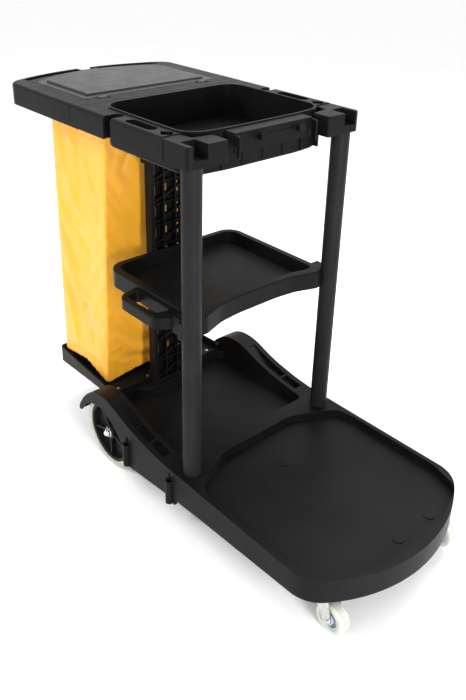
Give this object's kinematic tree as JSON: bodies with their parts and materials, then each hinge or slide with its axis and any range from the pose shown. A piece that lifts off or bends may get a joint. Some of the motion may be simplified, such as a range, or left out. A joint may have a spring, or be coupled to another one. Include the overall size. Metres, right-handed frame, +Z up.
{
  "type": "housekeeping cart",
  "caption": "Janitor cart with a low bucket deck, two shelves, a tool tray, a push handle with a lidded hanging waste bag, large rear wheels and swivelling front casters.",
  "frame": {"origin": "on the floor, at the middle of the cart's plan", "axes": "+X from the push handle towards the bucket deck, +Y across the cart, +Z up"},
  "size_m": [1.262, 0.541, 0.972],
  "materials": {
    "black_plastic": "fine-grained moulded",
    "lid_plastic": "fine-grained moulded",
    "yellow_vinyl": "soft sheen",
    "post_plastic": "satin",
    "rim_plastic": "satin",
    "grey_tyre": "matte",
    "caster_grey": "matte",
    "hub_plastic": "satin",
    "zinc": "bright zinc plate",
    "chrome_cap": "polished",
    "nylon": "natural nylon",
    "screw_steel": "zinc plated"
  },
  "bodies": {
    "cart": {"base_platform": "black_plastic", "bag_platform": "black_plastic", "back_panel": "black_plastic", "panel_socket": "black_plastic", "middle_shelf": "black_plastic", "top_tray": "black_plastic", "handle_frame": "black_plastic", "waste_bag": "yellow_vinyl", "rear_axle": "zinc", "post_screws": "screw_steel", "shelf_screws": "screw_steel", "frame_screws": "screw_steel", "platform_screws": "screw_steel", "front_post_left": "post_plastic", "front_post_right": "post_plastic", "lid_hinge_pin_left": "screw_steel", "lid_hinge_pin_right": "screw_steel", "axle_washer_left": "zinc", "axle_washer_right": "zinc", "axle_spacer_left": "zinc", "axle_spacer_right": "zinc", "axle_cap_nut_left": "chrome_cap", "axle_cap_nut_right": "chrome_cap", "caster_stem_left": "zinc", "caster_stem_right": "zinc", "caster_race_left": "zinc", "caster_race_right": "zinc"},
    "rear_wheel_left": {"rear_tyre_left": "grey_tyre", "rear_wheel_rim_left": "rim_plastic", "rear_wheel_bush_left": "nylon"},
    "caster_swivel_left": {"caster_fork_left": "zinc", "caster_bolt_left": "zinc", "caster_nut_left": "zinc"},
    "caster_wheel_left": {"caster_hub_left": "hub_plastic", "caster_tyre_left": "caster_grey"},
    "rear_wheel_right": {"rear_tyre_right": "grey_tyre", "rear_wheel_rim_right": "rim_plastic", "rear_wheel_bush_right": "nylon"},
    "caster_swivel_right": {"caster_fork_right": "zinc", "caster_bolt_right": "zinc", "caster_nut_right": "zinc"},
    "caster_wheel_right": {"caster_hub_right": "hub_plastic", "caster_tyre_right": "caster_grey"},
    "lid": {"bag_lid": "lid_plastic"}
  },
  "joints": [
    {"name": "rear_wheel_spin_left", "type": "hinge", "parent": "cart", "child": "rear_wheel_left", "pos_m": [-0.197, -0.232, 0.1], "axis": [0, 1, 0], "continuous": true},
    {"name": "caster_turn_left", "type": "hinge", "parent": "cart", "child": "caster_swivel_left", "pos_m": [0.532, -0.192, 0.088], "axis": [0, 0, 1], "continuous": true},
    {"name": "caster_roll_left", "type": "hinge", "parent": "caster_swivel_left", "child": "caster_wheel_left", "pos_m": [0.559, -0.192, 0.0375], "axis": [0, 1, 0], "continuous": true},
    {"name": "rear_wheel_spin_right", "type": "hinge", "parent": "cart", "child": "rear_wheel_right", "pos_m": [-0.197, 0.232, 0.1], "axis": [0, 1, 0], "continuous": true},
    {"name": "caster_turn_right", "type": "hinge", "parent": "cart", "child": "caster_swivel_right", "pos_m": [0.532, 0.192, 0.088], "axis": [0, 0, 1], "continuous": true},
    {"name": "caster_roll_right", "type": "hinge", "parent": "caster_swivel_right", "child": "caster_wheel_right", "pos_m": [0.559, 0.192, 0.0375], "axis": [0, 1, 0], "continuous": true},
    {"name": "lid_hinge", "type": "hinge", "parent": "cart", "child": "lid", "pos_m": [-0.297, 0, 0.963], "axis": [0, 1, 0], "range_deg": [0, 100]}
  ]
}
